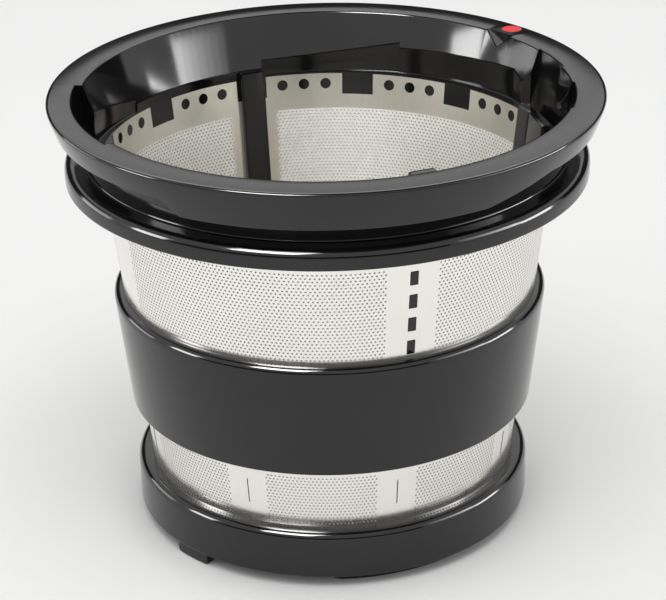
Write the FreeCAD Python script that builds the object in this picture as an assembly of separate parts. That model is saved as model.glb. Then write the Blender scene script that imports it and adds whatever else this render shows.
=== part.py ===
import FreeCAD, Part
import math
import os

# Juicer mesh screen: a rolled cone of perforated steel sheet with a plastic frame moulded on to it.
# Millimetres, +Z up, origin on the axis in the plane of the feet.

# Overall height, feet to rim
total_height = 89.0

# Steel sheet: outer radii at its two edges, and the floor plastic that its lower edge stands on
sheet_thickness = 0.5
sheet_top_radius = 44.67
sheet_foot_radius = 36.05
sheet_top_below_rim = 12.55
sheet_bed = 1.5

# Tabs along the sheet's top edge, with their notches and anchor holes
tab_count = 12
notch_width = 6.7
notch_depth = 4.45
anchor_hole_radius = 1.15
anchor_hole_sides = 6
anchor_hole_below_top = 2.15
anchor_hole_pitch_angle = 6.05
anchor_holes_per_tab = 3

# Funnel and rim
funnel_depth = 10.6
funnel_flare = 3.9
rim_flat_width = 6.6
rim_edge_height = 5.0
rim_taper = 0.36
rim_chamfer = 0.6

# Locking lugs that hang under the rim, one on each side
lug_drop = 3.2
lug_count = 2
lug_stop_angle = -123.0
lug_stop_sweep = 4.0
lug_lead_angle = -47.5
lug_lead_sweep = 17.0

# Neck under the rim, which narrows downwards, bead flange and the collar over the tabs
neck_top_wall = 2.1
neck_foot_wall = 2.6
bead_width = 4.4
bead_top_below_rim = 12.2
bead_thickness = 4.0
bead_chamfer = 0.6
collar_wall = 1.6
collar_height = 1.8

# Inner ribs, and how far below the rim each one ends: every second one is keyed through open slots
rib_angle = 21.2
rib_count = 4
rib_ends_below_rim = (funnel_depth, funnel_depth, funnel_depth, 0.0)
slotted_rib_step = 2
rib_width = 5.2
rib_proud = 1.6
short_rib_width = 4.4
short_rib_past_band_foot = 5.75
slot_width = 1.7
slot_height = 3.0
slot_pitch = 4.95
slot_rows = 4
first_slot_below_rim = 22.7
band_key_margin = 4.0

# How far the plastic stops short of the sheet's free faces
plug_setback = 0.1

# Pockets that cut back the funnel's foot: two in the quarter after every second rib, and a short one
pocket_turns = 2
pocket_floor_below_rim = 12.3
pocket_step_angle = 70.0
first_pocket_angles = (107.9, 89.0, pocket_step_angle)
first_pocket_depths = (0.6, 0.9, 1.8)
second_pocket_angles = (pocket_step_angle, 48.0, 33.0)
second_pocket_depths = (1.4, 1.6, 1.8)
short_pocket_angles = (175.0, 163.0, 151.0)
short_pocket_depths = (1.8, 1.0, 0.3)
nook_angles = (28.8, 24.5)
nook_depths = (1.25, 2.6)

# Two recesses that run up to the rim, with a round tongue of the funnel left hanging in the first
recess_start_angles = (26.0, 215.0)
recess_sweeps = (42.0, 40.0)
recess_past_mouths = (0.4, 1.4)
recess_foot_wall = 1.1
tongue_angle = 6.0
tongue_radius = 4.2
tongue_drop = 4.4

# Round mark on the rim, with a pointed notch in the mouth beside it
mark_angle = 41.5
mark_from_mouth = 3.6
mark_radius = 2.1
mark_depth = 0.6
mark_notch_width = 7.0
mark_notch_drop = 2.8
mark_notch_reach = 1.0

# Middle band
band_top_below_rim = 39.8
band_height = 23.95
band_thickness = 2.1
band_chamfer = 0.6

# Base ring, feet and floor
ring_height = 9.8
ring_ledge = 3.07
ring_chamfer = 0.7
foot_height = 2.2
foot_depth = 3.4
foot_turns = 2
narrow_foot_inset = 0.3
narrow_foot_angle = -135.5
narrow_foot_sweep = 12.0
wide_foot_inset = 3.0
wide_foot_angle = -65.0
wide_foot_sweep = 50.0
floor_thickness = 3.0

# Hub bore and pulp outlet in the floor
hub_bore_radius = 16.0
outlet_from_bore = 5.0
outlet_width = 11.0
outlet_sweep = 50.0

# Depth by which joined shapes run into each other, and length by which cutters run past a face
bite = 0.5
overrun = 3.0

FULL_TURN = 360.0
AXIS = FreeCAD.Vector(0, 0, 1)
ORIGIN = FreeCAD.Vector(0, 0, 0)
OUTWARD = FreeCAD.Vector(1, 0, 0)

# Heights that follow from the sizes above
rim_edge_foot = total_height - rim_edge_height
funnel_foot = total_height - funnel_depth
bead_top = total_height - bead_top_below_rim
bead_foot = bead_top - bead_thickness
collar_foot = bead_foot - collar_height
sheet_top = total_height - sheet_top_below_rim
sheet_foot = foot_height + sheet_bed
pocket_floor = total_height - pocket_floor_below_rim
band_top = total_height - band_top_below_rim
band_foot = band_top - band_height
ring_foot = foot_height
ring_top = ring_foot + ring_height
floor_top = ring_foot + floor_thickness


def sheet_outside(height):
    """Radius of the sheet's outer face at a height."""
    share = (height - sheet_foot) / (sheet_top - sheet_foot)
    return sheet_foot_radius + share * (sheet_top_radius - sheet_foot_radius)


def sheet_inside(height):
    return sheet_outside(height) - sheet_thickness


# Radii that follow: the funnel grows out of the sheet, and the rim, neck and ring are set off from it
throat_radius = sheet_inside(funnel_foot) + plug_setback
mouth_radius = throat_radius + funnel_flare
rim_radius = mouth_radius + rim_flat_width
neck_top_radius = throat_radius + funnel_flare * (rim_edge_foot - funnel_foot) / funnel_depth + neck_top_wall
neck_foot_radius = sheet_outside(bead_top) + neck_foot_wall
bead_radius = neck_foot_radius + bead_width
ring_radius = sheet_outside(ring_top) + ring_ledge
sheet_middle = sheet_thickness / 2


def rim_outside(height):
    return rim_radius - rim_taper * (total_height - height)


def in_section(radius, height):
    """Point of the section plane, which holds the axis."""
    return FreeCAD.Vector(radius, 0, height)


def at_angle(radius, angle, height):
    turn = math.radians(angle)
    return FreeCAD.Vector(radius * math.cos(turn), radius * math.sin(turn), height)


def turned(shape, angle):
    copy = shape.copy()
    copy.rotate(ORIGIN, AXIS, angle)
    return copy


def repeated(shape, count):
    """Copies of a shape spread evenly round the axis, the first where it stands."""
    return [turned(shape, FULL_TURN * i / count) for i in range(count)]


def outline_face(points):
    return Part.Face(Part.makePolygon(points + points[:1]))


def ring(corners, start=0.0, sweep=FULL_TURN):
    """Body turned about the axis from corners given as (radius, height, chamfer)."""
    points = []
    for i, (radius, height, chamfer) in enumerate(corners):
        corner = in_section(radius, height)
        if not chamfer:
            points.append(corner)
            continue
        for neighbour in (corners[i - 1], corners[(i + 1) % len(corners)]):
            along = in_section(*neighbour[:2]) - corner
            points.append(corner + along.normalize() * chamfer)
    return turned(outline_face(points).revolve(ORIGIN, AXIS, sweep), start)


def radial_block(width, foot, top, angle):
    """Straight-sided block that runs out along a radius from the bore."""
    corner = FreeCAD.Vector(hub_bore_radius, -width / 2, foot)
    return turned(Part.makeBox(rim_radius - hub_bore_radius, width, top - foot, corner), angle)


def sheet_window(width, foot, top, angle):
    """Cutter for an opening of the sheet with level ends and sides that point at the axis."""
    inner = sheet_inside(foot) - overrun
    outer = sheet_outside(top) + overrun
    sweep = math.degrees(width / sheet_outside((foot + top) / 2))
    corners = [(inner, foot, 0), (outer, foot, 0), (outer, top, 0), (inner, top, 0)]
    return ring(corners, angle - sweep / 2, sweep)


def anchor_punch(height, angle):
    """Punch for one anchor hole: its flats run to a point on the axis."""
    reach = sheet_outside(height) + overrun
    size = anchor_hole_radius * reach / sheet_outside(height)
    points = []
    for i in range(anchor_hole_sides):
        turn = math.radians(FULL_TURN * (i + 0.5) / anchor_hole_sides)
        points.append(FreeCAD.Vector(reach, size * math.cos(turn), height + size * math.sin(turn)))
    flats = [outline_face([in_section(0, height), a, b]) for a, b in zip(points, points[1:] + points[:1])]
    return turned(Part.Solid(Part.Shell(flats + [outline_face(points)])), angle)


# Steel sheet: a plain cone, cut for tabs, rib slots and anchor holes
rib_angles = [rib_angle + FULL_TURN * i / rib_count for i in range(rib_count)]
windows = []
punches = []
for i in range(tab_count):
    notch_angle = rib_angle + FULL_TURN * i / tab_count
    windows.append(sheet_window(notch_width, sheet_top - notch_depth, sheet_top + overrun, notch_angle))
    tab_angle = notch_angle + FULL_TURN / tab_count / 2
    for j in range(anchor_holes_per_tab):
        hole_angle = tab_angle + anchor_hole_pitch_angle * (j - (anchor_holes_per_tab - 1) / 2)
        punches.append(anchor_punch(sheet_top - anchor_hole_below_top, hole_angle))
for angle in rib_angles:
    windows.append(sheet_window(slot_width, band_foot + band_key_margin, band_top - band_key_margin, angle))
for angle in rib_angles[1::slotted_rib_step]:
    for row in range(slot_rows):
        slot_top = total_height - first_slot_below_rim - slot_pitch * row + slot_height / 2
        windows.append(sheet_window(slot_width, slot_top - slot_height, slot_top, angle))
sheet_cone = ring([
    (sheet_inside(sheet_foot), sheet_foot, 0),
    (sheet_outside(sheet_foot), sheet_foot, 0),
    (sheet_outside(sheet_top), sheet_top, 0),
    (sheet_inside(sheet_top), sheet_top, 0),
])
plain_sheet = sheet_cone.cut(windows)
screen = plain_sheet.cut(punches)

# Head of the frame: flat rim, funnel, neck, bead flange and the collar over the tabs
head = ring([
    (mouth_radius, total_height, 0),
    (rim_radius, total_height, rim_chamfer),
    (rim_outside(rim_edge_foot), rim_edge_foot, 0),
    (neck_top_radius, rim_edge_foot, 0),
    (neck_foot_radius, bead_top, 0),
    (bead_radius, bead_top, bead_chamfer),
    (bead_radius, bead_foot, 0),
    (sheet_outside(bead_foot) + collar_wall, bead_foot, 0),
    (sheet_outside(collar_foot) + collar_wall, collar_foot, 0),
    (sheet_inside(collar_foot) + plug_setback, collar_foot, 0),
    (throat_radius, funnel_foot, 0),
])

# Locking lug: a step under the rim with a blunt stop at one end and a lead-in slope at the other
lug_foot = rim_edge_foot - lug_drop
lug_inside = neck_foot_radius - bite
lug_start = lug_stop_angle - lug_stop_sweep / 2
lug_end = lug_lead_angle + lug_lead_sweep / 2
lug = ring([
    (lug_inside, rim_edge_foot + bite, 0),
    (rim_outside(rim_edge_foot + bite) - bite, rim_edge_foot + bite, 0),
    (rim_outside(rim_edge_foot), rim_edge_foot, 0),
    (rim_outside(lug_foot), lug_foot, 0),
    (lug_inside, lug_foot, 0),
], lug_start, lug_end - lug_start)


def lug_slope(angle, sweep, rising):
    """Cutter under a sloping plane that passes through the middle of the lug's end."""
    run = 2 * rim_outside(lug_foot) * math.sin(math.radians(sweep / 2))
    tilt = rising * math.degrees(math.atan(lug_drop / run))
    block = Part.makeBox(rim_radius, rim_radius, rim_radius, FreeCAD.Vector(0, -rim_radius / 2, -rim_radius))
    block.rotate(ORIGIN, OUTWARD, tilt)
    block.translate(FreeCAD.Vector(0, 0, (rim_edge_foot + lug_foot) / 2))
    return turned(block, angle)


lug = lug.cut([lug_slope(lug_stop_angle, lug_stop_sweep, -1), lug_slope(lug_lead_angle, lug_lead_sweep, 1)])

# Middle band, moulded round the outside of the sheet
band = ring([
    (sheet_outside(band_top) - sheet_middle, band_top, 0),
    (sheet_outside(band_top) + band_thickness, band_top, band_chamfer),
    (sheet_outside(band_foot) + band_thickness, band_foot, 0),
    (sheet_outside(band_foot) - sheet_middle, band_foot, 0),
])

# Base ring and floor in one
base = ring([
    (hub_bore_radius, ring_foot, 0),
    (ring_radius, ring_foot, 0),
    (ring_radius, ring_top, ring_chamfer),
    (sheet_outside(ring_top) - sheet_middle, ring_top, 0),
    (sheet_outside(floor_top) - sheet_middle, floor_top, 0),
    (hub_bore_radius, floor_top, 0),
])


def foot(middle, sweep, inset):
    outer = ring_radius - inset
    inner = outer - foot_depth
    joint = ring_foot + bite
    corners = [(inner, 0, 0), (outer, 0, 0), (outer, joint, 0), (inner, joint, 0)]
    return ring(corners, middle - sweep / 2, sweep)


feet = repeated(foot(narrow_foot_angle, narrow_foot_sweep, narrow_foot_inset), foot_turns)
feet += repeated(foot(wide_foot_angle, wide_foot_sweep, wide_foot_inset), foot_turns)

# Inner ribs: slices of a lining that follows the sheet and the funnel from floor to rim
rib_foot = floor_top - bite
lining = ring([
    (sheet_inside(rib_foot) - rib_proud, rib_foot, 0),
    (sheet_outside(rib_foot) - plug_setback, rib_foot, 0),
    (sheet_outside(funnel_foot) - plug_setback, funnel_foot, 0),
    (mouth_radius + bite, total_height, 0),
    (mouth_radius - rib_proud, total_height, 0),
    (throat_radius - rib_proud, funnel_foot, 0),
])
short_rib_top = band_foot + short_rib_past_band_foot
ribs = []
for angle, rib_end in zip(rib_angles, rib_ends_below_rim):
    ribs.append(lining.common(radial_block(rib_width, rib_foot, total_height - rib_end, angle)))
    short_angle = angle + FULL_TURN / rib_count / 2
    ribs.append(lining.common(radial_block(short_rib_width, rib_foot, short_rib_top, short_angle)))


def pocket(angles, depths, end_angles=(), end_depths=()):
    """Cutter for one pocket: its outer wall is an arc that draws away from the axis, then straight."""
    wall = [at_angle(throat_radius + depth, angle, pocket_floor) for angle, depth in zip(angles, depths)]
    corners = []
    for angle, depth in zip(end_angles, end_depths):
        corners.append(at_angle(throat_radius + depth, angle, pocket_floor))
    inner_radius = throat_radius - rib_proud
    last_angle = (angles + end_angles)[-1]
    corners.append(at_angle(inner_radius, last_angle, pocket_floor))
    inner_middle = at_angle(inner_radius, (angles[0] + last_angle) / 2, pocket_floor)
    inner_start = at_angle(inner_radius, angles[0], pocket_floor)
    edges = [Part.Arc(*wall).toShape()]
    edges += [Part.makeLine(a, b) for a, b in zip([wall[-1]] + corners, corners)]
    edges.append(Part.Arc(corners[-1], inner_middle, inner_start).toShape())
    edges.append(Part.makeLine(inner_start, wall[0]))
    return Part.Face(Part.Wire(edges)).extrude(AXIS * (total_height - pocket_floor + overrun))


first_pocket = pocket(first_pocket_angles, first_pocket_depths)
second_pocket = pocket(second_pocket_angles, second_pocket_depths, nook_angles, nook_depths)
pockets = repeated(first_pocket, pocket_turns) + repeated(second_pocket, pocket_turns)
pockets.append(pocket(short_pocket_angles, short_pocket_depths))

# Recesses: their wall is steeper than the funnel, and in the first a tongue stays in front of it
recess_foot_radius = neck_foot_radius - recess_foot_wall
recess_top = total_height + overrun
recesses = []
for start_angle, sweep, past_mouth in zip(recess_start_angles, recess_sweeps, recess_past_mouths):
    slope = (mouth_radius + past_mouth - recess_foot_radius) / (total_height - pocket_floor)
    recesses.append(ring([
        (throat_radius - rib_proud, pocket_floor, 0),
        (recess_foot_radius, pocket_floor, 0),
        (recess_foot_radius + slope * (recess_top - pocket_floor), recess_top, 0),
        (throat_radius - rib_proud, recess_top, 0),
    ], start_angle - sweep, sweep))
tongue_middle = in_section(0, total_height - tongue_drop + tongue_radius)
tongue = turned(Part.makeCylinder(tongue_radius, rim_radius, tongue_middle, OUTWARD), tongue_angle)
recesses[0] = recesses[0].cut(tongue)

# Round mark: a red fill in a shallow recess of the flat rim, and a pointed notch in the mouth beside it
mark_foot = at_angle(mouth_radius + mark_from_mouth, mark_angle, total_height - mark_depth)
mark = Part.makeCylinder(mark_radius, mark_depth, mark_foot)
notch_start = throat_radius
notch_face = outline_face([
    FreeCAD.Vector(notch_start, -mark_notch_width / 2, total_height),
    FreeCAD.Vector(notch_start, mark_notch_width / 2, total_height),
    FreeCAD.Vector(notch_start, 0, total_height - mark_notch_drop),
])
mark_notch = turned(notch_face.extrude(OUTWARD * (mouth_radius + mark_notch_reach - notch_start)), mark_angle)

# Pulp outlet: an arc-shaped opening through the floor, centred on +X
outlet_inner = hub_bore_radius + outlet_from_bore
outlet_outer = outlet_inner + outlet_width
outlet = ring([
    (outlet_inner, ring_foot - overrun, 0),
    (outlet_outer, ring_foot - overrun, 0),
    (outlet_outer, floor_top + overrun, 0),
    (outlet_inner, floor_top + overrun, 0),
], -outlet_sweep / 2, outlet_sweep)

# One plastic frame: everything joined, opened, and fitted round the sheet and the mark
frame_body = head.cut(pockets + recesses + [mark_notch])
frame_body = frame_body.fuse(repeated(lug, lug_count) + [band, base] + feet + ribs)
frame = frame_body.cut([outlet, mark, plain_sheet]).removeSplitter()

os.makedirs("parts", exist_ok=True)
for name, shape in (("frame", frame), ("screen", screen), ("red_mark", mark)):
    solid = shape.Solids[0] if len(shape.Solids) == 1 else shape
    solid.exportStep("parts/" + name + ".step")
    print(name, "solids", len(shape.Solids), "closed", solid.isValid(), "volume", round(solid.Volume, 1))
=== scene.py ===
import bmesh
import bpy
import math
import numpy as np
from mathutils import Matrix, Vector


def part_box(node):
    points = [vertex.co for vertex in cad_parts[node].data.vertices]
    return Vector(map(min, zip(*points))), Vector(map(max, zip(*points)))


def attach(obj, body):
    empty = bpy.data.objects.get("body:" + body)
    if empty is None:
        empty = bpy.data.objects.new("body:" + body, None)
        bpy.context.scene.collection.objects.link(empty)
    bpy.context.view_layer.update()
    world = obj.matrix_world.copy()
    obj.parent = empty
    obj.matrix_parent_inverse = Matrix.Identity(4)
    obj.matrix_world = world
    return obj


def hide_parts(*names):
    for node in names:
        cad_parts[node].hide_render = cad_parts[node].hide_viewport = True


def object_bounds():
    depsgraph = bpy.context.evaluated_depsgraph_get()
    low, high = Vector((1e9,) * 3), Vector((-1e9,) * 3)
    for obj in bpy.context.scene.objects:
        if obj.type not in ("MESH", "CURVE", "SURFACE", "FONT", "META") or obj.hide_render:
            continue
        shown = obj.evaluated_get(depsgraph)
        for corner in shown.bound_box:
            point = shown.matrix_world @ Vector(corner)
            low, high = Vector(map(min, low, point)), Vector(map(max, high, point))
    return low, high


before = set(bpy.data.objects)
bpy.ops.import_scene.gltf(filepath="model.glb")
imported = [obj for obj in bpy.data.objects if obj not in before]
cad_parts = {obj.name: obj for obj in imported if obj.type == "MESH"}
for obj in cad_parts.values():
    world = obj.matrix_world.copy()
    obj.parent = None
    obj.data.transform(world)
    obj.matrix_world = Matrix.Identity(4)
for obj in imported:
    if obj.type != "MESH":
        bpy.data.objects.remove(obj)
cad_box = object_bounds()

# Perforated screen
# A cone of stainless sheet, punched flat with staggered holes and rolled, plain at the ribs and the band.
# Inside, punched parts are ground bright and plain parts keep their mill finish, painted darker and warmer as
# painted shade. Cut edges are painted dark, as painted shade in the holes.
MM = 0.001
TURN = 2 * math.pi
screen_low, screen_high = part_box("screen")
screen_points = np.array([vertex.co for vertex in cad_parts["screen"].data.vertices])
screen_radii = np.hypot(screen_points[:, 0], screen_points[:, 1])
sheet_foot = screen_low.z
sheet_top = screen_high.z
sheet_top_radius = screen_radii.max()
foot_margin = 0.1 * MM
sheet_foot_radius = screen_radii[screen_points[:, 2] < sheet_foot + foot_margin].max()
sheet_slope = (sheet_top_radius - sheet_foot_radius) / (sheet_top - sheet_foot)
sheet_thickness = 0.5 * MM

hole_columns = 312
hole_rows = 92
hole_radius = 0.2 * MM
punched_top = 69.0 * MM
screen_sectors = 8
window_heights = ((12.6 * MM, 23.6 * MM), (49.7 * MM, 68.6 * MM))
rib_angle = math.radians(21.2)
rib_count = 4
rib_plain_angle = math.radians(7.0)
low_strip_aside = math.radians(2.0)
low_strip_plain_angle = math.radians(6.0)
sharp_angle = math.radians(35)
ground_index, cut_shade_index, mill_shade_index = 1, 2, 3


def sheet_radius(height):
    """Radius of the sheet's outer face at a height."""
    return sheet_foot_radius + sheet_slope * (height - sheet_foot)


def mesh_piece(name, points, faces):
    """Object made of points and faces, shaded smooth with its sharp edges kept."""
    mesh = bpy.data.meshes.new(name)
    mesh.from_pydata([tuple(point) for point in points], [], faces)
    mesh.shade_smooth()
    mesh.set_sharp_from_angle(angle=sharp_angle)
    piece = bpy.data.objects.new(name, mesh)
    bpy.context.scene.collection.objects.link(piece)
    return piece


def rolled(name, blank, faces, plain_corners):
    """Flat blank of (angle, height) points, rolled into the cone with the sheet's thickness and cut edges.

    Faces with plain_corners corners are plain sheet, which keeps its mill finish inside, painted darker as
    painted shade.
    """
    points = []
    for depth in (0.0, sheet_thickness):
        for angle, height in blank:
            radius = sheet_radius(height) - depth
            points.append((radius * math.cos(angle), radius * math.sin(angle), height))
    edges = {(a, b) for face in faces for a, b in zip(face, face[1:] + face[:1])}
    under = len(blank)
    inner = [tuple(under + i for i in reversed(face)) for face in faces]
    cut_edges = [(b, a, under + a, under + b) for a, b in edges if (b, a) not in edges]
    piece = mesh_piece(name, points, faces + inner + sorted(cut_edges))
    # Plain faces inside take the mill finish, whose darker tint is painted shade.
    for polygon in piece.data.polygons[len(faces):2 * len(faces)]:
        polygon.material_index = mill_shade_index if polygon.loop_total == plain_corners else ground_index
    # Cut edges take the dark painted shade of the holes.
    for polygon in piece.data.polygons[2 * len(faces):]:
        polygon.material_index = cut_shade_index
    return piece


def off_rib(angle, first, count):
    """Angle from the nearest of a set of evenly spread ribs."""
    step = TURN / count
    return abs((angle - first + step / 2) % step - step / 2)


def is_punched(angle, height):
    """Whether a place lies in one of the two windows, clear of its plain strips."""
    (low_foot, low_top), (high_foot, high_top) = window_heights
    if low_foot < height < low_top:
        return off_rib(angle, rib_angle - low_strip_aside, 2 * rib_count) > low_strip_plain_angle
    return high_foot < height < high_top and off_rib(angle, rib_angle, rib_count) > rib_plain_angle


half_pitch = TURN / hole_columns / 2
row_third = (punched_top - sheet_foot) / (hole_rows + 1 / 3) / 3
cell_corners = ((0, 2), (-1, 1), (-1, -1), (0, -2), (1, -1), (1, 1))
cell_sides = len(cell_corners)


def screen_sector(index):
    """One sector of the sheet: six-sided cells that share their corners, each with or without its hole."""
    blank = []
    corner_index = {}
    faces = []

    def corner(column, third):
        if (column, third) not in corner_index:
            corner_index[(column, third)] = len(blank)
            blank.append((column * half_pitch, sheet_foot + (third + 2) * row_third))
        return corner_index[(column, third)]

    columns_each = hole_columns // screen_sectors
    for row in range(hole_rows):
        for column in range(index * columns_each, (index + 1) * columns_each):
            middle = 2 * column + row % 2
            outline = []
            for across, up in cell_corners:
                if (row == 0 and up < 0) or (row == hole_rows - 1 and up > 0):
                    up = math.copysign(2, up)
                outline.append(corner(middle + across, 3 * row + int(up)))
            outline = tuple(reversed(outline))
            angle = middle * half_pitch
            height = sheet_foot + (3 * row + 2) * row_third
            if not is_punched(angle, height):
                faces.append(outline)
                continue
            first = len(blank)
            for a, b in cell_corners[::-1]:
                turn = math.atan2(b * row_third, a * half_pitch * sheet_radius(height))
                blank.append((angle + hole_radius * math.cos(turn) / sheet_radius(height),
                              height + hole_radius * math.sin(turn)))
            hole = tuple(range(first, first + cell_sides))
            for i in range(cell_sides):
                j = (i + 1) % cell_sides
                faces.append((outline[i], outline[j], hole[j], hole[i]))
    return rolled("screen_sector_%d" % (index + 1), blank, faces, cell_sides)


noise_low = 0.3
noise_high = 0.7


def new_material(name):
    """Material with one Principled shader, and its node tree to add to."""
    material = bpy.data.materials.new(name)
    material.use_nodes = True
    return material, material.node_tree, material.node_tree.nodes["Principled BSDF"]


def noise(tree, scale, detail, stretch=(1, 1, 1)):
    """Noise in the object's own coordinates, stretched along its axes."""
    place = tree.nodes.new("ShaderNodeTexCoord")
    mapping = tree.nodes.new("ShaderNodeMapping")
    mapping.inputs["Scale"].default_value = stretch
    texture = tree.nodes.new("ShaderNodeTexNoise")
    texture.inputs["Scale"].default_value = scale
    texture.inputs["Detail"].default_value = detail
    tree.links.new(place.outputs["Object"], mapping.inputs["Vector"])
    tree.links.new(mapping.outputs["Vector"], texture.inputs["Vector"])
    return texture.outputs["Fac"]


def ranged(tree, value, low, high):
    """A noise's usual values spread from low to high."""
    spread = tree.nodes.new("ShaderNodeMapRange")
    spread.inputs["From Min"].default_value = noise_low
    spread.inputs["From Max"].default_value = noise_high
    spread.inputs["To Min"].default_value = low
    spread.inputs["To Max"].default_value = high
    tree.links.new(value, spread.inputs["Value"])
    return spread.outputs["Result"]


def tinted(tree, value, low_colour, high_colour):
    """Colour that runs from one tint to another with a value."""
    ramp = tree.nodes.new("ShaderNodeValToRGB")
    ramp.color_ramp.elements[0].position = noise_low
    ramp.color_ramp.elements[0].color = (*low_colour, 1)
    ramp.color_ramp.elements[1].position = noise_high
    ramp.color_ramp.elements[1].color = (*high_colour, 1)
    tree.links.new(value, ramp.inputs["Fac"])
    return ramp.outputs["Color"]


def bumped(tree, shader, value, height):
    """Fine relief of a given height on the shader."""
    bump = tree.nodes.new("ShaderNodeBump")
    bump.inputs["Strength"].default_value = 1.0
    bump.inputs["Distance"].default_value = height
    tree.links.new(value, bump.inputs["Height"])
    tree.links.new(bump.outputs["Normal"], shader.inputs["Normal"])


sheet_grain = (1500, 3, (1, 1, 0.2))
edge_grain = (2500, 2, (1, 1, 0.3))
sheet_clouds = (60, 3)
rolled_relief = 0.0004 * MM
mill_relief = 0.0001 * MM


def steel_finish(name, dark, light, roughness, grain, relief=0.0, clouds=None):
    """Bare steel whose tint follows its own grain, or else clouds."""
    material, tree, shader = new_material(name)
    shader.inputs["Metallic"].default_value = 1.0
    grain_value = noise(tree, *grain)
    tint_value = noise(tree, *clouds) if clouds else grain_value
    tree.links.new(tinted(tree, tint_value, dark, light), shader.inputs["Base Color"])
    tree.links.new(ranged(tree, grain_value, *roughness), shader.inputs["Roughness"])
    if relief:
        bumped(tree, shader, grain_value, relief)
    return material


steel_finishes = (
    steel_finish("rolled_stainless", (0.85, 0.83, 0.79), (0.89, 0.87, 0.83), (0.20, 0.25),
                 sheet_grain, rolled_relief, sheet_clouds),
    steel_finish("ground_inside", (0.86, 0.845, 0.81), (0.90, 0.885, 0.85), (0.44, 0.50),
                 sheet_grain, rolled_relief),
    # The cut edges' dark tint is painted shade in the holes; their roughness is their own.
    steel_finish("punched_edge_painted_shade", (0.26, 0.255, 0.24), (0.34, 0.33, 0.315), (0.55, 0.65), edge_grain),
    # The mill finish's darker, warmer tint is painted shade; its smoother roughness is its own.
    steel_finish("mill_finish_painted_shade", (0.71, 0.69, 0.62), (0.74, 0.72, 0.65), (0.30, 0.34),
                 sheet_grain, mill_relief),
)


def fit_steel(piece):
    """Give a piece the sheet's finishes and put it in the screen's place."""
    for finish in steel_finishes:
        piece.data.materials.append(finish)
    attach(piece, "root")
    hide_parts("screen")


for sector in range(screen_sectors):
    fit_steel(screen_sector(sector))

# Tabs along the screen's top edge
# The plain margin of the same sheet, notched into tabs above the punched part.
# Each tab has three round holes, for the moulding to grip.
tab_count = 12
notch_width = 6.7 * MM
notch_foot = 72.0 * MM
anchor_height = 74.3 * MM
anchor_radius = 1.15 * MM
anchor_pitch = math.radians(6.05)
anchor_sides = 24
first_hole_corner = 0.375
patch_corners = 4
tab_middle = rib_angle + TURN / tab_count / 2
tab_pitch = TURN / tab_count
tab_half = tab_pitch / 2 - notch_width / sheet_radius(anchor_height) / 2
cell_half = anchor_pitch / 2
side_steps = anchor_sides // 4


def tab_blank():
    """Flat blank of the margin: a plain strip, and above it the tabs with their holes."""
    blank = []
    index = {}
    faces = []

    def point(angle, height):
        key = (round(angle % TURN, 6), round(height / MM, 4))
        if key not in index:
            index[key] = len(blank)
            blank.append((angle, height))
        return index[key]

    def patch(angles, heights):
        for a, b in zip(angles, angles[1:]):
            for low, high in zip(heights, heights[1:]):
                faces.append((point(a, low), point(b, low), point(b, high), point(a, high)))

    def holed_cell(middle):
        """Rectangle round one anchor hole, its sides split to meet the hole's corners."""
        left, right = middle - cell_half, middle + cell_half
        across = [left + (right - left) * i / side_steps for i in range(side_steps)]
        upward = [notch_foot + (sheet_top - notch_foot) * i / side_steps for i in range(side_steps)]
        border = [(a, notch_foot) for a in across] + [(right, h) for h in upward]
        border += [(left + right - a, sheet_top) for a in across]
        border += [(left, notch_foot + sheet_top - h) for h in upward]
        hole = []
        for i in range(anchor_sides):
            turn = TURN * (i / anchor_sides - first_hole_corner)
            hole.append((middle + anchor_radius * math.cos(turn) / sheet_radius(anchor_height),
                         anchor_height + anchor_radius * math.sin(turn)))
        for i in range(anchor_sides):
            j = (i + 1) % anchor_sides
            faces.append((point(*border[i]), point(*border[j]), point(*hole[j]), point(*hole[i])))

    for tab in range(tab_count):
        middle = tab_middle + tab * tab_pitch
        cell_edges = [middle + cell_half * k for k in (-3, -1, 1)]
        cell_steps = [edge + 2 * cell_half * i / side_steps for edge in cell_edges for i in range(side_steps)]
        cell_steps.append(middle + 3 * cell_half)
        margins = ([middle - tab_half, middle - 3 * cell_half], [middle + 3 * cell_half, middle + tab_half])
        notch = [middle + tab_half + (tab_pitch - 2 * tab_half) * i / side_steps
                 for i in range(side_steps + 1)]
        strip_heights = [punched_top, notch_foot]
        upper_heights = [notch_foot + (sheet_top - notch_foot) * i / side_steps
                         for i in range(side_steps + 1)]
        for columns in (margins[0], cell_steps, margins[1], notch):
            patch(columns, strip_heights)
        for columns in margins:
            patch(columns, upper_heights)
        for k in (-1, 0, 1):
            holed_cell(middle + k * anchor_pitch)
    return blank, faces


fit_steel(rolled("screen_tabs", *tab_blank(), patch_corners))

# Head of the frame
# Glossy black plastic, moulded over the sheet's tabs in one shot: flat rim, funnel, lugs, neck and bead.
# Its section changes round the axis, where the lugs hang down and where pockets cut back the funnel's foot.
frame_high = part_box("frame")[1]
rim_radius = frame_high.x
rim_top = frame_high.z
rim_taper = 0.36
rim_edge_foot = rim_top - 5.0 * MM
lug_foot = rim_top - 8.2 * MM
lug_angles = (-125.0, -121.0, -56.0, -39.0)
mouth_radius = rim_radius - 6.6 * MM
funnel_foot = rim_top - 10.6 * MM
throat_radius = mouth_radius - 3.9 * MM
funnel_flare = (mouth_radius - throat_radius) / (rim_top - funnel_foot)
bead_top = rim_top - 12.2 * MM
bead_foot = bead_top - 4.0 * MM
neck_top_radius = throat_radius + funnel_flare * (rim_edge_foot - funnel_foot) + 2.1 * MM
neck_foot_radius = sheet_radius(bead_top) + 2.6 * MM
bead_radius = neck_foot_radius + 4.4 * MM
collar_foot = bead_foot - 1.8 * MM
collar_wall = 1.6 * MM
tab_setback = 0.1 * MM
pocket_floor = rim_top - 12.3 * MM
first_pocket = ((107.9, 0.6), (89.0, 0.9), (70.0, 1.8))
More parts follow.
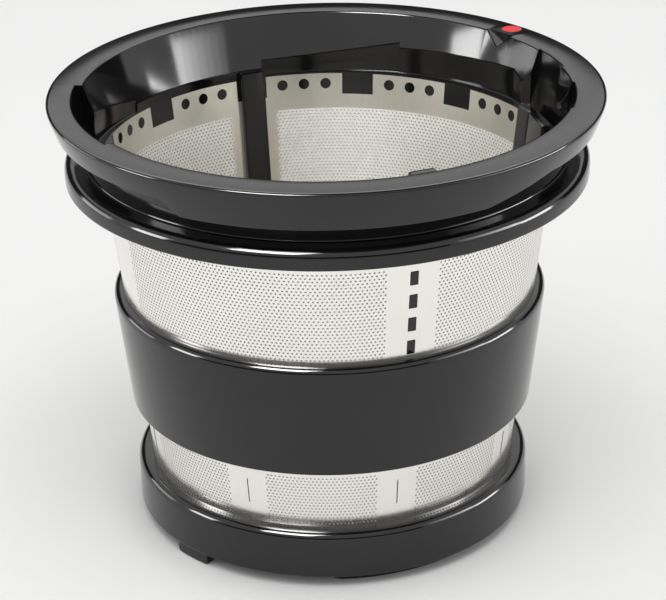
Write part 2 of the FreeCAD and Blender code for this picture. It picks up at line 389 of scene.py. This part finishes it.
second_pocket = ((70.0, 1.4), (48.0, 1.6), (33.0, 1.8))
short_pocket = ((175.0, 1.8), (163.0, 1.0), (151.0, 0.3))
recesses = ((-16.0, 26.0, 0.4 * MM), (175.0, 215.0, 1.4 * MM))
recess_foot_radius = neck_foot_radius - 1.1 * MM
tongue_angle = 7.0
tongue_radius = 4.6 * MM
tongue_middle = rim_top - 1.2 * MM
nook = ((33.0, 1.8), (28.8, 1.25), (24.5, 2.6))
mark_angle = 41.5
notch_half_angle = 4.15
notch_drop = 2.8 * MM
notch_reach = 0.4 * MM
inner_rounding = 0.2 * MM
edge_rounding = 0.3 * MM
bead_rounding = 0.5 * MM
bead_shoulder = 1.9 * MM
lip_rounding = 0.4 * MM
skirt_rounding = 0.35 * MM
rim_rounding = 1.0 * MM
head_step = 0.5
edge_gap = 0.01
tongue_shares = (-1, -0.99, -0.97, -0.94, 0.94, 0.97, 0.99, 1)
weld_distance = 0.001 * MM


def rounded(corners, steps=6):
    """Closed outline of (across, up, rounding) corners, each rounding a small curve."""
    outline = []
    for i, (across, up, rounding) in enumerate(corners):
        corner = Vector((across, up))
        if not rounding:
            outline.append(corner)
            continue
        before = corner + (Vector(corners[i - 1][:2]) - corner).normalized() * rounding
        after = corner + (Vector(corners[(i + 1) % len(corners)][:2]) - corner).normalized() * rounding
        for step in range(steps + 1):
            share = step / steps
            outline.append(before * (1 - share) ** 2 + corner * 2 * share * (1 - share) + after * share ** 2)
    return outline


def lofted(loops, closed):
    """Points and faces that join like loops in turn, into a ring or with both ends capped."""
    size = len(loops[0])
    points = [point for loop in loops for point in loop]
    faces = []
    for i in range(len(loops) if closed else len(loops) - 1):
        here, there = i * size, (i + 1) % len(loops) * size
        for k in range(size):
            n = (k + 1) % size
            faces.append((here + k, there + k, there + n, here + n))
    if not closed:
        faces.append(tuple(range(size)))
        faces.append(tuple(reversed(range(len(points) - size, len(points)))))
    return points, faces


def turned_loop(outline, degrees):
    """Section outline of (radius, height) stood up at an angle round the axis."""
    turn = math.radians(degrees)
    return [(radius * math.cos(turn), radius * math.sin(turn), height) for radius, height in outline]


def together(bodies):
    """Several bodies of points and faces as one."""
    points, faces = [], []
    for body_points, body_faces in bodies:
        faces += [tuple(len(points) + i for i in face) for face in body_faces]
        points += body_points
    return points, faces


def through_points(pairs, angle):
    """Value on the parabola through three (angle, value) pairs."""
    total = 0
    for here, value in pairs:
        for there, _ in pairs:
            if there != here:
                value *= (angle - there) / (here - there)
        total += value
    return total


def pocket_depth(degrees):
    """How far a pocket's wall stands out beyond the throat: the long ones repeat after a half turn."""
    if short_pocket[-1][0] < degrees <= short_pocket[0][0]:
        return MM * through_points(short_pocket, degrees)
    angle = degrees % 180
    if nook[-1][0] < angle <= nook[0][0]:
        return MM * float(np.interp(angle, *zip(*reversed(nook))))
    for pocket in (second_pocket, first_pocket):
        if pocket[-1][0] < angle <= pocket[0][0]:
            return MM * through_points(pocket, angle)
    return 0.0


def rim_foot(degrees):
    """Height of the rim's lower edge, which drops along the lugs."""
    angle = (degrees + 180) % 180 - 180
    return float(np.interp(angle, lug_angles, (rim_edge_foot, lug_foot, lug_foot, rim_edge_foot)))


def wall_radius(height):
    """Radius of the moulding's inner side, a hair behind the tabs' inner face."""
    return sheet_radius(height) - sheet_thickness + tab_setback


def recess_lip(degrees):
    """How far past the mouth a recess reaches at the rim, or None beside the recesses."""
    for start, end, past_mouth in recesses:
        if (degrees - start) % 360 < end - start:
            return past_mouth
    return None


def funnel_wall(degrees, drop):
    """Corners of the funnel's inner side from the mouth down to the ledge over the tabs."""
    past_mouth = recess_lip(degrees)
    if past_mouth is None:
        depth = pocket_depth(degrees)
        edge = Vector((throat_radius + depth, funnel_foot + depth / funnel_flare))
        foot = Vector((throat_radius + depth if depth else wall_radius(pocket_floor), pocket_floor))
        lip = Vector((mouth_radius - funnel_flare * drop, rim_top - drop))
        return [lip, edge, (edge + foot) / 2, foot]
    foot = Vector((recess_foot_radius, pocket_floor))
    lip = Vector((mouth_radius + past_mouth, rim_top))
    aside = abs(mouth_radius * math.sin(math.radians(degrees - tongue_angle)))
    if aside >= tongue_radius or past_mouth == recesses[1][2]:
        return [lip, lip * 2 / 3 + foot / 3, lip / 3 + foot * 2 / 3, foot]
    tip = tongue_middle - math.sqrt(tongue_radius ** 2 - aside ** 2)
    share = (tip - pocket_floor) / (rim_top - pocket_floor)
    edge = Vector((mouth_radius - funnel_flare * (rim_top - tip), tip))
    return [Vector((mouth_radius, rim_top)), edge, foot + (lip - foot) * share, foot]


def head_section(degrees):
    """Section of the head at an angle, from the collar round the rim to the ledge over the tabs."""
    off_mark = abs((degrees - mark_angle + 180) % 360 - 180)
    drop = notch_drop * max(0.0, 1 - off_mark / notch_half_angle)
    foot = rim_foot(degrees)
    lip, edge, middle, ledge = funnel_wall(degrees, drop)
    flat_end = max(mouth_radius, lip.x) + notch_reach
    neck_radius = float(np.interp(foot, (bead_top, rim_edge_foot), (neck_foot_radius, neck_top_radius)))
    return rounded([
        (wall_radius(collar_foot), collar_foot, inner_rounding),
        (sheet_radius(collar_foot) + collar_wall, collar_foot, edge_rounding),
        (sheet_radius(bead_foot) + collar_wall, bead_foot, inner_rounding),
        (bead_radius, bead_foot, bead_rounding),
        (bead_radius, bead_top, bead_shoulder),
        (neck_foot_radius, bead_top, bead_rounding),
        (neck_radius, foot, lip_rounding),
        (rim_radius - rim_taper * (rim_top - foot), foot, skirt_rounding),
        (rim_radius, rim_top, rim_rounding),
        (flat_end, rim_top, 0),
        (flat_end, rim_top - drop, 0),
        (*lip, lip_rounding),
        (*edge, edge_rounding),
        (*middle, 0),
        (*ledge, inner_rounding),
        (wall_radius(pocket_floor), pocket_floor, 0),
    ])


head_angles = {head_step * i for i in range(round(360 / head_step))}
for half_turn in (0, 180):
    for angle in (first_pocket[0][0], first_pocket[-1][0], nook[0][0], nook[1][0], nook[-1][0]) + lug_angles:
        head_angles |= {(angle + half_turn - edge_gap) % 360, (angle + half_turn + edge_gap) % 360}
head_angles |= {mark_angle, mark_angle - notch_half_angle, mark_angle + notch_half_angle}
tongue_half_angle = math.degrees(math.asin(tongue_radius / mouth_radius))
for share in tongue_shares:
    head_angles.add((tongue_angle + tongue_half_angle * share) % 360)
for angle in (*recesses[0][:2], *recesses[1][:2], short_pocket[-1][0]):
    head_angles |= {(angle - edge_gap) % 360, (angle + edge_gap) % 360}
head_loops = [turned_loop(head_section(angle), angle) for angle in sorted(head_angles)]


def tidied(piece):
    """Piece with doubled points merged and empty faces taken out."""
    shape = bmesh.new()
    shape.from_mesh(piece.data)
    bmesh.ops.remove_doubles(shape, verts=shape.verts, dist=weld_distance)
    bmesh.ops.dissolve_degenerate(shape, edges=shape.edges, dist=weld_distance)
    shape.to_mesh(piece.data)
    shape.free()
    piece.data.shade_smooth()
    piece.data.set_sharp_from_angle(angle=sharp_angle)
    return piece


plastic_relief = 0.002 * MM
plastic, plastic_tree, plastic_shader = new_material("black_moulding")
plastic_grain = noise(plastic_tree, 700, 3)
plastic_clouds = noise(plastic_tree, 45, 4)
plastic_tree.links.new(tinted(plastic_tree, plastic_clouds, (0.003, 0.003, 0.0033), (0.005, 0.005, 0.0053)),
                       plastic_shader.inputs["Base Color"])
plastic_tree.links.new(ranged(plastic_tree, plastic_clouds, 0.08, 0.13), plastic_shader.inputs["Roughness"])
bumped(plastic_tree, plastic_shader, plastic_grain, plastic_relief)


def fit_plastic(piece):
    """Give a piece the moulding's finish and put it in the frame's place."""
    piece.data.materials.append(plastic)
    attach(piece, "root")
    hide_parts("frame")


mark_radius = 2.1 * MM
mark_depth = 0.6 * MM
mark_sides = 48
mark_setback = 3.6 * MM
mark_place = turned_loop([(mouth_radius + mark_setback, rim_top)], mark_angle)[0]


def round_loop(radius, height):
    """Circle round the mark's middle."""
    turns = [TURN * i / mark_sides for i in range(mark_sides)]
    return [(mark_place[0] + radius * math.cos(turn), mark_place[1] + radius * math.sin(turn), height)
            for turn in turns]


def recessed(piece, cutter):
    """Piece with the cutter's shape taken out of it."""
    cut = piece.modifiers.new("recess", "BOOLEAN")
    cut.operation = "DIFFERENCE"
    cut.object = cutter
    cut.solver = "EXACT"
    bpy.context.view_layer.update()
    result = bpy.data.meshes.new_from_object(piece.evaluated_get(bpy.context.evaluated_depsgraph_get()))
    piece.modifiers.clear()
    piece.data = result
    bpy.data.objects.remove(cutter)
    return piece


head = tidied(mesh_piece("frame_head", *lofted(head_loops, True)))
recess_loops = [round_loop(mark_radius, rim_top + mark_depth), round_loop(mark_radius, rim_top - mark_depth)]
fit_plastic(tidied(recessed(head, mesh_piece("mark_cutter", *lofted(recess_loops, False)))))

# Middle band
# A smooth belt of the black moulding, shot round the outside of the sheet at half height.
# Its outer face keeps the slope of the sheet.
ring_angles = range(360)
band_top = rim_top - 39.8 * MM
band_foot = band_top - 23.95 * MM
band_thickness = 2.1 * MM
band_foot_rounding = 0.4 * MM
band_shoulder = 2.0 * MM
sheet_middle = sheet_thickness / 2
band_outline = rounded([
    (sheet_radius(band_foot) - sheet_middle, band_foot, 0),
    (sheet_radius(band_foot) + band_thickness, band_foot, band_foot_rounding),
    (sheet_radius(band_top) + band_thickness, band_top, band_shoulder),
    (sheet_radius(band_top) - sheet_middle, band_top, 0),
])
band_loops = [turned_loop(band_outline, angle) for angle in ring_angles]
fit_plastic(mesh_piece("frame_band", *lofted(band_loops, True)))

# Base ring and floor
# A ring of the black moulding holds the sheet's lower edge, and its thin floor leaves a bore for the hub.
# An arc-shaped outlet in the floor lets the pulp out.
ring_foot = 2.2 * MM
ring_top = 12.0 * MM
ring_thickness = 3.07 * MM
ring_radius = sheet_radius(ring_top) + ring_thickness
ring_foot_rounding = 0.6 * MM
ring_shoulder = 1.9 * MM
floor_thickness = 3.0 * MM
floor_top = ring_foot + floor_thickness
bore_rounding = 0.4 * MM
bore_radius = 16.0 * MM
outlet_inner = 21.0 * MM
outlet_outer = 32.0 * MM
outlet_half_angle = 25.0
ring_outline = rounded([
    (outlet_outer, ring_foot, 0),
    (ring_radius, ring_foot, ring_foot_rounding),
    (ring_radius, ring_top, ring_shoulder),
    (sheet_radius(ring_top) - sheet_middle, ring_top, 0),
    (sheet_radius(floor_top) - sheet_middle, floor_top, 0),
    (outlet_outer, floor_top, 0),
])
hub_outline = rounded([
    (bore_radius, ring_foot, bore_rounding),
    (outlet_inner, ring_foot, 0),
    (outlet_inner, floor_top, 0),
    (bore_radius, floor_top, bore_rounding),
])
floor_outline = rounded([
    (outlet_inner, ring_foot, 0),
    (outlet_outer, ring_foot, 0),
    (outlet_outer, floor_top, 0),
    (outlet_inner, floor_top, 0),
])
floor_steps = 180
floor_angles = np.linspace(outlet_half_angle, 360 - outlet_half_angle, floor_steps)
base_bodies = [lofted([turned_loop(outline, angle) for angle in ring_angles], True)
               for outline in (ring_outline, hub_outline)]
base_bodies.append(lofted([turned_loop(floor_outline, angle) for angle in floor_angles], False))
fit_plastic(mesh_piece("frame_base", *together(base_bodies)))

# Feet
# Two narrow feet at the ring's edge and two long ones set back under it.
# They are of the same black plastic, moulded with the ring, with their soles rounded.
foot_depth = 3.4 * MM
foot_bite = 0.3 * MM
foot_rounding = 0.3 * MM
foot_steps = 24
narrow_foot = (-135.5, 12.0, 0.3 * MM)
long_foot = (-65.0, 50.0, 3.0 * MM)


def foot_body(middle, sweep, inset):
    """Foot along an arc, with its lower edges and both ends rounded."""
    outer = ring_radius - inset
    loops = []
    for i in range(foot_steps + 1):
        sole = foot_rounding if i in (0, foot_steps) else 0.0
        loops.append(turned_loop(rounded([
            (outer - foot_depth, sole, foot_rounding),
            (outer, sole, foot_rounding),
            (outer, ring_foot + foot_bite, 0),
            (outer - foot_depth, ring_foot + foot_bite, 0),
        ]), middle + sweep * (i / foot_steps - 0.5)))
    return lofted(loops, False)


feet = [foot_body(angle + half_turn, sweep, inset) for half_turn in (0, 180)
        for angle, sweep, inset in (narrow_foot, long_foot)]
fit_plastic(mesh_piece("frame_feet", *together(feet)))

# Inner ribs and their keys
# Bars of the moulding stiffen the sheet from inside: four tall, four short and one broad pad at the right.
# Plastic keys fill slots in the sheet: a column of oblongs at two tall ribs, and a thin slit by every rib.
rib_width = 5.2 * MM
rib_proud = 1.6 * MM
rib_sink = 0.2 * MM
rib_rounding = 0.5 * MM
rib_foot = floor_top - 0.5 * MM
rib_ends = (funnel_foot, funnel_foot, funnel_foot, rim_top)
keyed_places = (1, 3)
short_rib_width = 4.4 * MM
short_rib_top = 31.0 * MM
pad_angle = 12.5
pad_width = 9.0 * MM
rib_end_inset = 0.25 * MM
key_width = 1.7 * MM
key_height = 3.0 * MM
keys_each = 4
first_key_drop = 22.7 * MM
key_pitch = 4.95 * MM
key_heights = [rim_top - first_key_drop - key_pitch * row for row in range(keys_each)]
slit_width = 0.22 * MM
slit_length = 5.5 * MM
slit_height = 18.8 * MM
slit_aside = math.degrees(low_strip_aside)
key_proud = 0.06 * MM
key_rounding = 0.2 * MM


def rib_face(height):
    """Radius of the ribs' inner face at a height."""
    if height <= funnel_foot:
        return sheet_radius(height) - sheet_thickness - rib_proud
    return throat_radius - rib_proud + funnel_flare * (height - funnel_foot)


def set_at(degrees, out, aside, height):
    """Point at a distance out from the axis along an angle, and then aside of it."""
    turn = math.radians(degrees)
    return (out * math.cos(turn) - aside * math.sin(turn),
            out * math.sin(turn) + aside * math.cos(turn), height)


def rib_body(degrees, width, top):
    """Bar that follows the sheet and then the funnel, with rounded edges and a softened end."""
    heights = [rib_foot, top] if top <= funnel_foot else [rib_foot, funnel_foot, top]
    stations = [(height, 0.0) for height in heights[:-1]]
    stations += [(top - rib_end_inset, 0.0), (top, rib_end_inset)]
    loops = []
    for height, inset in stations:
        inner = rib_face(height) + inset
        outer = rib_face(height) + rib_proud + rib_sink
        side = width / 2 - inset
        outline = rounded([(inner, -side, rib_rounding), (inner, side, rib_rounding),
                           (outer, side, 0), (outer, -side, 0)])
        loops.append([set_at(degrees, out, aside, height) for out, aside in outline])
    return lofted(loops, False)


def key_body(degrees, height, width, length):
    """Plug of one slot: a rounded oblong that stands a hair proud of the sheet."""
    loops = []
    for depth, inset in ((sheet_thickness + rib_sink, 0.0), (0.0, 0.0), (-key_proud, key_proud)):
        across, up = width / 2 - inset, length / 2 - inset
        corner = min(key_rounding, across / 2)
        outline = rounded([(-across, -up, corner), (across, -up, corner),
                           (across, up, corner), (-across, up, corner)])
        loops.append([set_at(degrees, sheet_radius(height + rise) - depth, aside, height + rise)
                      for aside, rise in outline])
    return lofted(loops, False)


ribs = [rib_body(pad_angle, pad_width, funnel_foot)]
keys = []
for place in range(rib_count):
    degrees = math.degrees(rib_angle) + 360 / rib_count * place
    ribs.append(rib_body(degrees, rib_width, rib_ends[place]))
    ribs.append(rib_body(degrees + 180 / rib_count, short_rib_width, short_rib_top))
    if place in keyed_places:
        keys += [key_body(degrees, height, key_width, key_height) for height in key_heights]
    for slit_angle in (degrees - slit_aside, degrees + 180 / rib_count - slit_aside):
        keys.append(key_body(slit_angle, slit_height, slit_width, slit_length))
fit_plastic(mesh_piece("frame_ribs", *together(ribs)))
fit_plastic(mesh_piece("frame_keys", *together(keys)))

# Red mark
# A round dot of red paint in a shallow recess of the flat rim, for lining the screen up with its bowl.
# The paint dishes a little towards its middle, below the rim.
red_relief = 0.01 * MM
red, red_tree, red_shader = new_material("red_fill")
red_clouds = noise(red_tree, 400, 3)
red_tree.links.new(tinted(red_tree, red_clouds, (0.62, 0.035, 0.04), (0.72, 0.05, 0.055)),
                   red_shader.inputs["Base Color"])
red_tree.links.new(ranged(red_tree, red_clouds, 0.5, 0.6), red_shader.inputs["Roughness"])
red_shader.inputs["Specular IOR Level"].default_value = 0.15
bumped(red_tree, red_shader, red_clouds, red_relief)
fill_profile = ((0.0, mark_depth), (0.0, 0.06 * MM), (0.15 * MM, 0.1 * MM), (0.6 * MM, 0.12 * MM))
fill_loops = [round_loop(mark_radius - inset, rim_top - drop) for inset, drop in reversed(fill_profile)]
red_dot = mesh_piece("red_dot", *lofted(fill_loops, False))
red_dot.data.materials.append(red)
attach(red_dot, "root")
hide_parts("red_mark")

# Table top
# A seamless sheet of matt white card under and behind the part, with a faint mottle.
table_radius = 2.5
table_sides = 96
card_relief = 0.01 * MM
table_turns = [TURN * i / table_sides for i in range(table_sides)]
table_rim = [(table_radius * math.cos(turn), table_radius * math.sin(turn), 0) for turn in table_turns]
table = mesh_piece("white_card", table_rim, [tuple(range(table_sides))])
card, card_tree, card_shader = new_material("white_card")
card_mottle = noise(card_tree, 30, 2)
card_tree.links.new(tinted(card_tree, card_mottle, (0.80, 0.80, 0.795), (0.81, 0.81, 0.805)),
                    card_shader.inputs["Base Color"])
bumped(card_tree, card_shader, noise(card_tree, 900, 2), card_relief)
card_shader.inputs["Roughness"].default_value = 0.9
table.data.materials.append(card)

# Dark cloths
# Black cloth hung round the table, lowest on the camera's side, and one more piece overhead.
# The gloss of the plastic mirrors them, so it stays deep between the soft boxes.
cloth_radius = 1.6
cloth_step = 4
hung_cloths = ((-160, -40, 0.4), (24, 68, 0.7), (68, 112, 0.63), (112, 168, 0.7))
ceiling_height = 1.45
ceiling_radius = 0.8
ceiling_step = 10
cloth, cloth_tree, cloth_shader = new_material("black_cloth")
cloth_weave = noise(cloth_tree, 200, 3)
cloth_tree.links.new(tinted(cloth_tree, cloth_weave, (0.02, 0.02, 0.02), (0.04, 0.04, 0.04)),
                     cloth_shader.inputs["Base Color"])
cloth_shader.inputs["Roughness"].default_value = 0.95


def hang_cloth(name, points, faces):
    """Cloth that shows only as a mirror image in the part."""
    piece = mesh_piece(name, points, faces)
    piece.data.materials.append(cloth)
    piece.visible_camera = False
    piece.visible_diffuse = False


for start, end, top in hung_cloths:
    loops = [turned_loop([(cloth_radius, 0.0), (cloth_radius, top)], degrees)
             for degrees in range(start, end + 1, cloth_step)]
    points = [point for loop in loops for point in loop]
    faces = [(2 * i, 2 * i + 1, 2 * i + 3, 2 * i + 2) for i in range(len(loops) - 1)]
    hang_cloth("dark_cloth_%d" % (start % 360), points, faces)
ceiling = [turned_loop([(ceiling_radius, ceiling_height)], degrees)[0]
           for degrees in range(0, 360, ceiling_step)]
hang_cloth("dark_ceiling", ceiling, [tuple(range(len(ceiling)))])

# Light
# A pale tent over the table, with soft boxes at the sides, the front left, behind and overhead.
# The one overhead lights the card and casts the shadow, and the others show only as gloss on the part.
tent_fill = 0.83
object_middle = Vector((0, 0, cad_box[1][2] / 2))
world = bpy.data.worlds.new("pale_tent")
world.use_nodes = True
bpy.context.scene.world = world
tent = world.node_tree
seen = tent.nodes.new("ShaderNodeLightPath")
seen_direct = tent.nodes.new("ShaderNodeMath")
seen_direct.operation = "MAXIMUM"
tent.links.new(seen.outputs["Is Camera Ray"], seen_direct.inputs[0])
tent.links.new(seen.outputs["Is Glossy Ray"], seen_direct.inputs[1])
seen_any = tent.nodes.new("ShaderNodeMath")
seen_any.operation = "MAXIMUM"
tent.links.new(seen_direct.outputs["Value"], seen_any.inputs[0])
tent.links.new(seen.outputs["Is Transmission Ray"], seen_any.inputs[1])
tent_level = tent.nodes.new("ShaderNodeMapRange")
tent_level.inputs["To Min"].default_value = tent_fill
tent_level.inputs["To Max"].default_value = 1.0
tent.links.new(seen_any.outputs["Value"], tent_level.inputs["Value"])
tent.links.new(tent_level.outputs["Result"], tent.nodes["Background"].inputs["Strength"])
tent.nodes["Background"].inputs["Color"].default_value = (1, 1, 1, 1)


def soft_box(name, azimuth, elevation, distance, width, height, brightness, lights_card):
    """Area lamp that faces the part: it lights matt surfaces like the card, or shows only as gloss."""
    turn, rise = math.radians(azimuth), math.radians(elevation)
    lamp = bpy.data.lights.new(name, "AREA")
    lamp.shape = "RECTANGLE"
    lamp.size = width
    lamp.size_y = height
    lamp.energy = brightness * math.pi * width * height
    holder = bpy.data.objects.new(name, lamp)
    bpy.context.scene.collection.objects.link(holder)
    outward = Vector((math.cos(rise) * math.cos(turn), math.cos(rise) * math.sin(turn), math.sin(rise)))
    holder.location = object_middle + outward * distance
    holder.rotation_euler = outward.to_track_quat("Z", "Y").to_euler()
    holder.visible_diffuse = lights_card
    holder.visible_glossy = not lights_card


side_distance = 0.6
right_fade = (12.0, 9.4, 7.2, 5.4, 3.9, 2.7, 1.7)
right_azimuth, right_azimuth_step = -8.6, 4.2
right_elevation, right_elevation_step = 12.8, 0.9
right_width, right_height = 0.044, 0.2
soft_box("right_back_box", 3, 6, side_distance, 0.2, 0.15, 15.0, False)
for step, brightness in enumerate(right_fade):
    soft_box("right_front_box_%d" % (step + 1), right_azimuth - right_azimuth_step * step,
             right_elevation + right_elevation_step * step, side_distance, right_width, right_height,
             brightness, False)
soft_box("left_back_box", 160, 6, side_distance, 0.24, 0.2, 3.7, False)
soft_box("left_box", 193, 14, side_distance, 0.17, 0.2, 16.0, False)
soft_box("front_left_box", -121, 52, 0.8, 0.34, 0.34, 36.0, False)
soft_box("back_box", 90, 52, 1.0, 1.0, 0.5, 2.0, False)
soft_box("top_box", -90, 74, 1.0, 0.7, 0.7, 2.5, True)

# Camera
# It stands at the photograph's angle, in front of the part and looking down on the rim.
camera_place = Vector((0.645, -451.428, 251.874)) * MM
camera_elevation = math.radians(24.78198)
camera_roll = math.radians(-1.02268)
camera_lens = 132.43
camera_sensor = 36
camera = bpy.data.objects.new("camera", bpy.data.cameras.new("camera"))
camera.data.lens = camera_lens
camera.data.sensor_width = camera_sensor
level = Vector((1, 0, 0))
ahead = Vector((0, math.cos(camera_elevation), -math.sin(camera_elevation)))
upright = Vector((0, math.sin(camera_elevation), math.cos(camera_elevation)))
across = level * math.cos(camera_roll) + upright * math.sin(camera_roll)
above = upright * math.cos(camera_roll) - level * math.sin(camera_roll)
camera.matrix_world = Matrix.Translation(camera_place) @ Matrix((across, above, -ahead)).transposed().to_4x4()
bpy.context.scene.collection.objects.link(camera)
bpy.context.scene.camera = camera
bpy.context.scene.view_settings.view_transform = "Standard"
